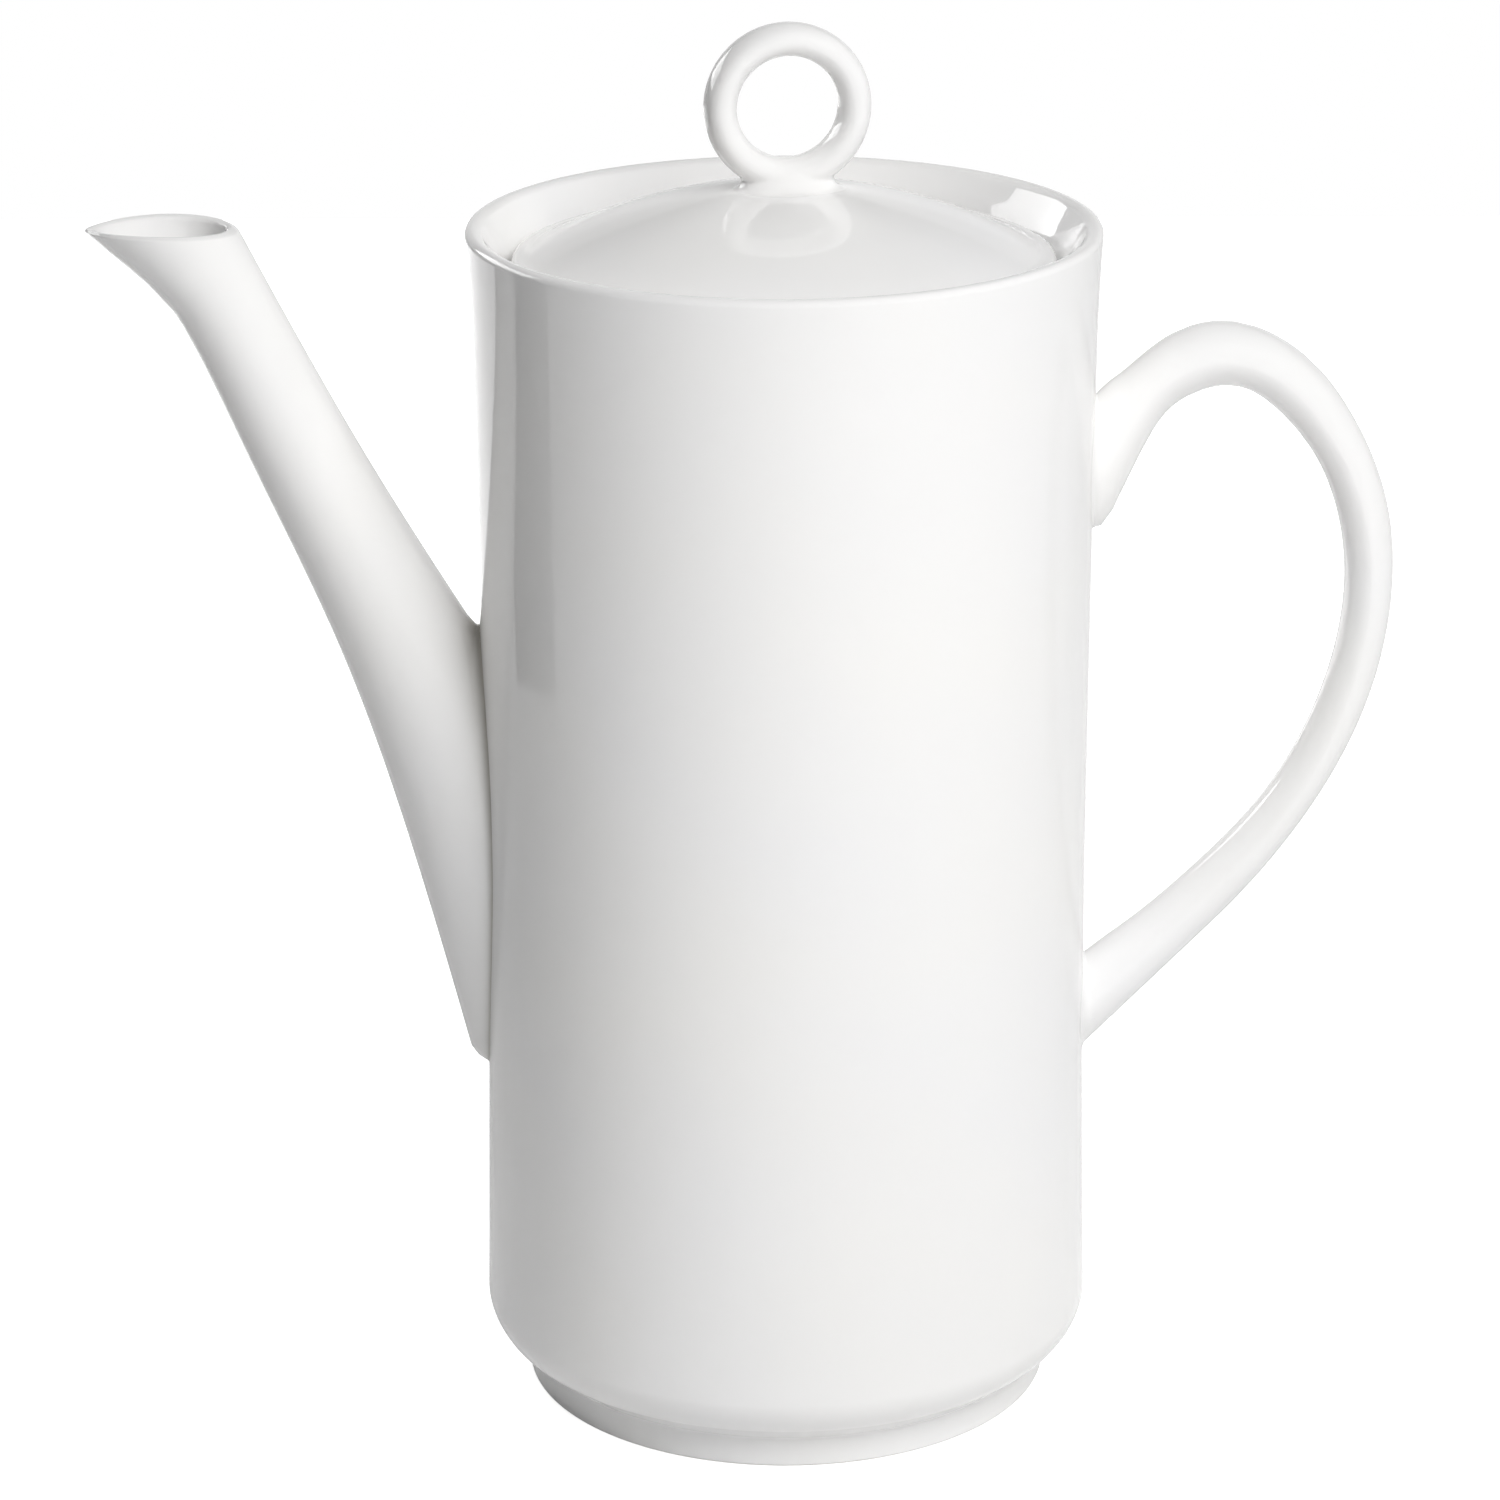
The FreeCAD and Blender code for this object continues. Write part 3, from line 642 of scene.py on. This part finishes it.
def handle_oval(u, place):
    """A point of the handle's section at a place: u runs round the bar from its outer side."""
    way_out = line_out(place + NUDGE) - line_out(place - NUDGE)
    way_up = line_height(place + NUDGE) - line_height(place - NUDGE)
    square = Vector((-way_up, 0, way_out)).normalized()
    upright = Vector((0, 0, math.copysign(1, square.z)))
    off_wall = min(place / runs[ARCH], (runs[-1] - place) / (runs[-1] - runs[TAIL]), 1.0)
    across = (upright + (square - upright) * off_wall**2).normalized()
    lean = math.cos(u)
    if lean < 0:
        lean = -abs(lean) ** INNER_TAPER
    middle = Vector((WAIST_RADIUS + line_out(place), 0, line_height(place)))
    sideways = Vector((0, steady(wides, place) / 2 * math.sin(u), 0))
    return middle + across * steady(talls, place) / 2 * lean + sideways


@functools.cache
def handle_strake(u):
    """Three battens, one for each direction, through the same point of every section."""
    points = [handle_oval(u, place) for place in ring_places]
    return [batten(ring_places, values) for values in zip(*points)]


def handle_side(u, v):
    """The handle's skin: u runs round the bar, v along it. The upper root ends in a blunt nub below."""
    inner = max(0.0, -math.cos(u))
    nub = NUB * inner**2 * math.exp(-(((v - NUB_PLACE) / NUB_SPREAD) ** 2))
    return (Vector([line(v) for line in handle_strake(u)]) + Vector((nub, 0, -nub))) * MM


# %% Handle: tube and beads
HANDLE_STRAKES, HANDLE_RINGS = 48, 120
ROOT_BEAD_THIN, ROOT_BEAD_WIDE = 0.5, 1.7


def root_bead_reach(u):
    """The bead is thin above and below the handle's root and wide at its sides."""
    return ROOT_BEAD_THIN + ROOT_BEAD_WIDE * math.sin(u) ** 2


angles = [TURN * k / HANDLE_STRAKES for k in range(HANDLE_STRAKES)]
upper_roots = [(u, root_of(handle_side, u, runs[ARCH], 0.0)) for u in angles]
lower_roots = [(u, root_of(handle_side, u, runs[TAIL], runs[-1])) for u in angles]
handle_strakes = []
for (u, upper), (u, lower) in zip(upper_roots, lower_roots):
    upper, lower = max(upper - TUCK, 0.0), min(lower + TUCK, runs[-1])
    places = [upper + (lower - upper) * i / (HANDLE_RINGS - 1) for i in range(HANDLE_RINGS)]
    handle_strakes.append([handle_side(u, v) for v in places])
handle = press_tube("handle_glazed", handle_strakes)
bpy.ops.object.mode_set(mode="EDIT")
bpy.ops.mesh.select_all(action="DESELECT")
bpy.ops.mesh.select_non_manifold()
bpy.ops.mesh.edge_face_add()
bpy.ops.object.mode_set(mode="OBJECT")
handle_beads = [press_bead(handle_side, roots, root_bead_reach) for roots in (upper_roots, lower_roots)]
close_and_join(handle, handle_beads)
stand_for(handle, "pot")

# %% [markdown]
# ## The lid
# The lid is round again, so it is spun: a gently domed disc with a rounded edge, hollow underneath, and a
# skirt that keeps it from sliding off when the pot is tipped.

# %% Lid
LID_GAP = 0.2
LID_BASE = LEDGE_HEIGHT + LID_GAP
LID_EDGE = 46.1
LID_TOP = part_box("lid")[1].z / MM
SKIRT_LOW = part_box("lid")[0].z / MM
SKIRT_OUTSIDE, SKIRT_INSIDE = 41.3, 37.9
KNOB_SEAT = 9.6
LID_THICKNESS = 4.0

lid = draw_section(
    "lid_glazed",
    [
        (0, LID_TOP),
        (KNOB_SEAT, LID_TOP, 2.0),
        (22.0, 213.2, FLOW),
        (34.0, 209.2, FLOW),
        (43.6, 204.9, 0.8),
        (LID_EDGE, 204.8, 1.1),
        (LID_EDGE, LID_BASE, 0.6),
        (SKIRT_OUTSIDE, LID_BASE, 0.8),
        (SKIRT_OUTSIDE, SKIRT_LOW, 1.2),
        (SKIRT_INSIDE, SKIRT_LOW, 1.2),
        (SKIRT_INSIDE, LID_BASE, 2.5),
        (24.0, LID_TOP - 7.5, FLOW),
        (KNOB_SEAT, LID_TOP - LID_THICKNESS, 2.0),
        (0, LID_TOP - LID_THICKNESS),
    ],
)
spin(lid)
smooth(lid)
stand_for(lid, "lid")

# %% [markdown]
# ## The ring knob
# A ring of clay pressed onto the lid, with a low flared foot where the slip was wiped round it. Ring and
# foot are modelled apart, from a torus and from a disc that is extruded upwards and drawn in, then melted
# into one skin by a voxel remesh and smoothed, which rounds the corner between them as wiping does.

# %% Knob: the ring
KNOB_SINK = 0.4
RING_RADIUS = 11.45
RING_BAR, RING_DEPTH = 5.6, 8.2
RING_HEIGHT = LID_TOP - KNOB_SINK + RING_BAR / 2 + RING_RADIUS
RING_STEPS, BAR_STEPS = 160, 48

bpy.ops.object.select_all(action="DESELECT")
bpy.ops.mesh.primitive_torus_add(
    major_radius=RING_RADIUS * MM,
    minor_radius=RING_BAR / 2 * MM,
    major_segments=RING_STEPS,
    minor_segments=BAR_STEPS,
    location=(0, 0, RING_HEIGHT * MM),
    rotation=(TURN / 4, 0, 0),
)
ring = bpy.context.object
bpy.ops.object.transform_apply(location=True, rotation=True, scale=True)
bpy.ops.object.mode_set(mode="EDIT")
bpy.ops.mesh.select_all(action="SELECT")
bpy.ops.transform.resize(value=(1, RING_DEPTH / RING_BAR, 1))
bpy.ops.object.mode_set(mode="OBJECT")
print("ring:", round(2 * RING_RADIUS - RING_BAR, 1), "mm clear inside")

# %% Knob: the foot
# Height over the lid, half length, half depth
FOOT_STEPS = [
    (-1.6, 12.6, 9.6),
    (-0.6, 10.8, 8.6),
    (-0.25, 9.9, 7.8),
    (0.0, 9.2, 6.9),
    (0.15, 8.8, 6.35),
    (0.4, 8.45, 5.8),
    (0.8, 8.15, 5.25),
    (1.4, 7.95, 4.8),
    (2.4, 7.7, 4.4),
    (3.2, 7.2, 4.1),
]
FOOT_CORNERS = 96

bpy.ops.object.select_all(action="DESELECT")
lowest, length, depth = FOOT_STEPS[0]
bpy.ops.mesh.primitive_circle_add(
    vertices=FOOT_CORNERS, radius=MM, fill_type="NGON", location=(0, 0, (LID_TOP + lowest) * MM)
)
foot = bpy.context.object
bpy.ops.object.transform_apply(location=True)
bpy.ops.object.mode_set(mode="EDIT")
bpy.ops.mesh.select_all(action="SELECT")
bpy.ops.transform.resize(value=(length, depth, 1))
for before, after in zip(FOOT_STEPS, FOOT_STEPS[1:]):
    rise = (after[0] - before[0]) * MM
    bpy.ops.mesh.extrude_region_move(TRANSFORM_OT_translate={"value": (0, 0, rise)})
    bpy.ops.transform.resize(value=(after[1] / before[1], after[2] / before[2], 1))
bpy.ops.object.mode_set(mode="OBJECT")
print("knob's foot:", len(foot.data.polygons), "faces")

# %% Knob: one skin
VOXEL = 0.25
WIPES, WIPE_STRENGTH = 12, 0.5
KNOB_TURN = math.radians(10)
KNOB_SHIFT = 0.6

bpy.ops.object.select_all(action="DESELECT")
foot.select_set(True)
ring.select_set(True)
bpy.context.view_layer.objects.active = ring
bpy.ops.object.join()
knob = bpy.context.object
knob.name = knob.data.name = "lid_knob_glazed"
apply_modifier(knob, "REMESH", mode="VOXEL", voxel_size=VOXEL * MM, use_smooth_shade=True)
apply_modifier(knob, "SMOOTH", factor=WIPE_STRENGTH, iterations=WIPES)
bpy.ops.object.mode_set(mode="EDIT")
bpy.ops.mesh.select_all(action="SELECT")
bpy.ops.mesh.bisect(plane_co=(0, 0, (LID_TOP - KNOB_SINK) * MM), plane_no=(0, 0, 1), clear_inner=True)
bpy.ops.mesh.select_all(action="SELECT")
bpy.ops.mesh.remove_doubles(threshold=CLOSE)
bpy.ops.mesh.select_all(action="DESELECT")
bpy.ops.mesh.select_non_manifold()
bpy.ops.mesh.edge_face_add()
bpy.ops.mesh.select_all(action="SELECT")
bpy.ops.transform.rotate(value=-KNOB_TURN, orient_axis="Z", center_override=(0, 0, 0))
bpy.ops.transform.translate(value=(KNOB_SHIFT * MM, 0, 0))
bpy.ops.mesh.normals_make_consistent(inside=False)
bpy.ops.object.mode_set(mode="OBJECT")
smooth(knob)
stand_for(knob, "lid")

# %% [markdown]
# ## The glaze
# Clear glaze over white porcelain: a slightly warm white with a hard mirror gloss. Two very faint noises
# keep it from looking like plastic: a broad one tints the white where the glaze lies thicker, and a finer
# one makes the gloss wavy, as a fired surface is. In the spout's joint the white turns to a warm grey,
# partly pooled glaze and partly painted shade. The foot ring's standing face is left bare, or the pot would
# stick to the kiln.

# %% Nodes
def add_node(tree, kind, **settings):
    """A new node with these settings."""
    node = tree.nodes.new("ShaderNode" + kind)
    for name, value in settings.items():
        setattr(node, name, value)
    return node


def fill(node, values):
    """Writes values into a node's sockets."""
    for socket, value in values.items():
        node.inputs[socket].default_value = value


def link(tree, source, output, target, socket):
    """Joins two nodes."""
    tree.links.new(source.outputs[output], target.inputs[socket])


# %% Glaze: its colour and gloss
COOL_WHITE = (0.935, 0.932, 0.934, 1)
WARM_WHITE = (0.950, 0.943, 0.928, 1)
# Warm grey of pooled glaze and painted shade in the spout's joint.
GLAZE_AND_SHADE_GREY = (0.45, 0.43, 0.385, 1)
BARE_CLAY = (0.78, 0.75, 0.70, 1)
BARE_BELOW = 0.25
CLOUDS, RIPPLES = 22.0, 90.0
GLAZE_ROUGHNESS, CLAY_ROUGHNESS = 0.06, 0.75
RIPPLE_HEIGHT, RIPPLE_SHARE = 0.1, 0.1


def white_glaze_and_joint_shade(tree, places):
    """A white that changes faintly from place to place, and turns grey in the spout's joint, for pooled
    glaze and painted shade.
    """
    clouds = add_node(tree, "TexNoise")
    fill(clouds, {"Scale": CLOUDS, "Detail": 2.0})
    link(tree, places, "Object", clouds, "Vector")
    tint = add_node(tree, "ValToRGB")
    for stop, place, colour in zip(tint.color_ramp.elements, (0.3, 0.7), (COOL_WHITE, WARM_WHITE)):
        stop.position = place
        stop.color = colour
    link(tree, clouds, "Fac", tint, "Fac")
    # Pooled glaze and painted shade: the joint's attribute mixes the white towards the grey.
    glaze_and_shade_attribute = add_node(tree, "Attribute", attribute_name=GLAZE_AND_SHADE)
    glaze_and_shade_mix = add_node(tree, "Mix", data_type="RGBA")
    fill(glaze_and_shade_mix, {"B": GLAZE_AND_SHADE_GREY})
    link(tree, glaze_and_shade_attribute, "Fac", glaze_and_shade_mix, "Factor")
    link(tree, tint, "Color", glaze_and_shade_mix, "A")
    return glaze_and_shade_mix


def bare_foot(tree, places, white, shader):
    """Bare dull clay on the standing face, and gloss everywhere else."""
    height = add_node(tree, "SeparateXYZ")
    link(tree, places, "Object", height, "Vector")
    bare = add_node(tree, "Math", operation="LESS_THAN")
    fill(bare, {1: BARE_BELOW * MM})
    link(tree, height, "Z", bare, 0)
    clay = add_node(tree, "Mix", data_type="RGBA")
    fill(clay, {"B": BARE_CLAY})
    link(tree, bare, 0, clay, "Factor")
    link(tree, white, "Result", clay, "A")
    link(tree, clay, "Result", shader, "Base Color")
    dull = add_node(tree, "MapRange")
    fill(dull, {"To Min": GLAZE_ROUGHNESS, "To Max": CLAY_ROUGHNESS})
    link(tree, bare, 0, dull, "Value")
    link(tree, dull, "Result", shader, "Roughness")


def wavy_gloss(tree, places, shader):
    """Ripples so low that only mirrored edges show them."""
    ripples = add_node(tree, "TexNoise")
    fill(ripples, {"Scale": RIPPLES, "Detail": 1.0})
    link(tree, places, "Object", ripples, "Vector")
    bump = add_node(tree, "Bump")
    fill(bump, {"Strength": RIPPLE_SHARE, "Distance": RIPPLE_HEIGHT * MM})
    link(tree, ripples, "Fac", bump, "Height")
    link(tree, bump, "Normal", shader, "Normal")


# %% Glaze: dipping the pieces
white_glaze = bpy.data.materials.new("porcelain_glaze")
white_glaze.use_nodes = True
glaze_tree = white_glaze.node_tree
glaze_shader = glaze_tree.nodes["Principled BSDF"]
fill(glaze_shader, {"IOR": 1.5})
glaze_places = add_node(glaze_tree, "TexCoord")
bare_foot(glaze_tree, glaze_places, white_glaze_and_joint_shade(glaze_tree, glaze_places), glaze_shader)
wavy_gloss(glaze_tree, glaze_places, glaze_shader)
for piece in (pot_body, spout, handle, lid, knob):
    piece.data.materials.clear()
    piece.data.materials.append(white_glaze)
    print("glazed:", piece.name)

# %% [markdown]
# ## The floor
# The pot stands on white paper, as in a studio. Lit paper alone would come out grey beside a white pot,
# and more light on it would also burn out the pot. So the paper has a glow that is seen only by the eye
# and in the gloss, and lights nothing. The glow is added to what the lamps give, and at this strength the
# two together pass full white: the paper takes the pot's shadow, but the shadow does not show.

# %% Floor
FLOOR_SIZE = 1.8


def shown_level(tree, seen, mirrored):
    """A strength for rays that show a surface, straight or mirrored, and none for the light it gives."""
    rays = add_node(tree, "LightPath")
    either = add_node(tree, "Math", operation="MAXIMUM")
    link(tree, rays, "Is Glossy Ray", either, 0)
    link(tree, rays, "Is Transmission Ray", either, 1)
    second = add_node(tree, "Math", operation="MULTIPLY")
    fill(second, {1: mirrored})
    link(tree, either, 0, second, 0)
    level = add_node(tree, "Math", operation="MULTIPLY_ADD")
    fill(level, {1: seen})
    link(tree, rays, "Is Camera Ray", level, 0)
    link(tree, second, 0, level, 2)
    return level


def paper(name, tone, seen=0.0, mirrored=0.0):
    """Matt paper of this tone, with a glow that only the eye and the mirror see."""
    material = bpy.data.materials.new(name)
    material.use_nodes = True
    tree = material.node_tree
    shader = tree.nodes["Principled BSDF"]
    fill(shader, {"Base Color": (tone, tone, tone, 1), "Roughness": 0.9, "Specular IOR Level": 0.0})
    fill(shader, {"Emission Color": (1, 1, 1, 1)})
    link(tree, shown_level(tree, seen, mirrored), 0, shader, "Emission Strength")
    return material


bpy.ops.object.select_all(action="DESELECT")
bpy.ops.mesh.primitive_plane_add(size=FLOOR_SIZE)
floor = bpy.context.object
floor.name = "floor"
floor.data.materials.append(paper("white_paper", tone=0.85, seen=0.8, mirrored=0.2))
print("floor:", FLOOR_SIZE, "m of", floor.data.materials[0].name)

# %% [markdown]
# ## The surround
# Round the pot the studio is white near the floor and dimmer overhead, and the gloss shows both. The
# world does not light the pot: it has the same kind of glow as the paper, and seen straight it is white.

# %% World
NEAR_FLOOR, OVERHEAD = 0.75, 0.35
FADE_FROM, FADE_TO = 0.08, 0.35

world = bpy.data.worlds.new("surround")
bpy.context.scene.world = world
world.use_nodes = True
sky = world.node_tree
air = sky.nodes["Background"]
fill(air, {"Color": (1, 1, 1, 1)})
shown = shown_level(sky, seen=1.0 / NEAR_FLOOR, mirrored=1.0)
way = add_node(sky, "TexCoord")
rise = add_node(sky, "SeparateXYZ")
link(sky, way, "Generated", rise, "Vector")
fade = add_node(sky, "MapRange", interpolation_type="SMOOTHSTEP")
fill(fade, {"From Min": FADE_FROM, "From Max": FADE_TO, "To Min": NEAR_FLOOR, "To Max": OVERHEAD})
link(sky, rise, "Z", fade, "Value")
strength = add_node(sky, "Math", operation="MULTIPLY")
link(sky, shown, 0, strength, 0)
link(sky, fade, "Result", strength, 1)
link(sky, strength, 0, air, "Strength")
print("surround:", NEAR_FLOOR, "near the floor,", OVERHEAD, "overhead")

# %% [markdown]
# ## The lights
# One large soft light stands in front to the right and makes the pot's left side the dark one. A weak low
# one lifts the foot, and two from behind draw the right edge and the far rim. Their own mirror images
# would be hard white squares, so the gloss does not show them. A window on the left is the other way
# round: it only shows in the gloss.

# %% Lights
POT_MIDDLE = Vector((0, 0, 0.11))
LIGHT_DISTANCE = 1.3
BOX_SIZE = 0.8


def soft_light(name, azimuth, elevation, power, width=BOX_SIZE, height=BOX_SIZE):
    """A rectangular soft light that faces the pot. Azimuth 0 is the camera's side, 90 the handle's."""
    a, e = math.radians(azimuth), math.radians(elevation)
    way = Vector((math.sin(a) * math.cos(e), -math.cos(a) * math.cos(e), math.sin(e)))
    bpy.ops.object.select_all(action="DESELECT")
    bpy.ops.object.light_add(type="AREA", location=POT_MIDDLE + way * LIGHT_DISTANCE)
    lamp = bpy.context.object
    lamp.name = name
    lamp.data.shape = "RECTANGLE"
    lamp.data.size, lamp.data.size_y = width, height
    lamp.data.energy = power
    lamp.rotation_euler = (-way).to_track_quat("-Z", "Y").to_euler()
    print(name, "at", azimuth, "degrees round and", elevation, "up,", power, "W")
    return lamp


for lamp in (
    soft_light("key_light", azimuth=28, elevation=45, power=13.4),
    soft_light("low_light", azimuth=22, elevation=10, power=2.5),
    soft_light("edge_light", azimuth=125, elevation=30, power=3.5),
    soft_light("back_light", azimuth=-150, elevation=30, power=8.0),
):
    lamp.visible_glossy = False
window = soft_light("window_shine", azimuth=-122, elevation=21, power=6.0, width=0.95, height=0.45)
window.visible_diffuse = False

# %% [markdown]
# ## Cards for the gloss
# A white pot on white gets its edges from what it mirrors. A dark screen stands on the left and draws the
# dark line up the wall, a grey flag over the back lets the lid mirror the ring, and a white card lies
# behind on the floor. They are seen in the gloss only: they take no light from the pot and throw no
# shadow.

# %% Cards
SCREEN_RADIUS, SCREEN_HEIGHT = 0.43, 0.22
SCREEN_FROM, SCREEN_TO = -120, -86
SCREEN_CORNERS = 72
OFF_FLOOR = 0.002
FLAG_SIZE, FLAG_DISTANCE, FLAG_RISE = 0.9, 0.8, math.radians(50)
FLAG_OVER = 0.21
CARD_SIZE, CARD_PLACE = 0.8, (-0.48, 0.7, 0.001)


def only_mirrored(name, material):
    """Makes the new object a card that is seen in the glaze only, and throws no shadow."""
    card = bpy.context.object
    card.name = name
    card.data.materials.append(material)
    card.visible_camera = False
    card.visible_diffuse = False
    card.visible_shadow = False
    print("card:", name)


bpy.ops.object.select_all(action="DESELECT")
bpy.ops.mesh.primitive_cylinder_add(
    vertices=SCREEN_CORNERS,
    radius=SCREEN_RADIUS,
    depth=SCREEN_HEIGHT,
    location=(0, 0, SCREEN_HEIGHT / 2 + OFF_FLOOR),
    end_fill_type="NOTHING",
)
pick(
    bpy.context.object,
    lambda co: not SCREEN_FROM < math.degrees(math.atan2(co.x, -co.y)) < SCREEN_TO,
)
bpy.ops.mesh.delete(type="VERT")
bpy.ops.object.mode_set(mode="OBJECT")
only_mirrored("dark_screen", paper("dark_paper", tone=0.03))

bpy.ops.object.select_all(action="DESELECT")
bpy.ops.mesh.primitive_plane_add(
    size=FLAG_SIZE,
    location=(0, FLAG_DISTANCE * math.cos(FLAG_RISE), FLAG_OVER + FLAG_DISTANCE * math.sin(FLAG_RISE)),
    rotation=(FLAG_RISE - TURN / 4, 0, 0),
)
only_mirrored("grey_flag", paper("grey_paper", tone=0.03, mirrored=0.12))

bpy.ops.object.select_all(action="DESELECT")
bpy.ops.mesh.primitive_plane_add(size=CARD_SIZE, location=CARD_PLACE)
only_mirrored("white_card", paper("card_paper", tone=0.9, mirrored=0.9))

# %% [markdown]
# ## The camera
# It stands higher than the pot and looks 19 degrees down, so that rim and foot show as ellipses. A long
# lens from nearly a metre away keeps the wall's two sides almost upright. The pot's axis is not in the
# middle of the picture, because the spout reaches further out than the handle, and the lens is shifted
# for that instead of turned.

# %% Camera
CAMERA_PLACE = (0.0, -0.8429, 0.4079)
LOOK_DOWN = math.radians(19.12)
ROLL = math.radians(-0.117)
LENS, SENSOR = 122.4, 36.0
AXIS_PIXEL, PICTURE = 785.1, 1500

bpy.ops.object.select_all(action="DESELECT")
bpy.ops.object.camera_add(location=CAMERA_PLACE, rotation=(TURN / 4 - LOOK_DOWN, 0, 0))
camera = bpy.context.object
camera.rotation_euler.rotate_axis("Z", ROLL)
camera.data.lens = LENS
camera.data.sensor_width = SENSOR
camera.data.shift_x = (PICTURE / 2 - AXIS_PIXEL) / PICTURE
bpy.context.scene.camera = camera
bpy.context.scene.view_settings.view_transform = "Standard"
print("camera:", LENS, "mm lens, shifted by", round(camera.data.shift_x, 4))
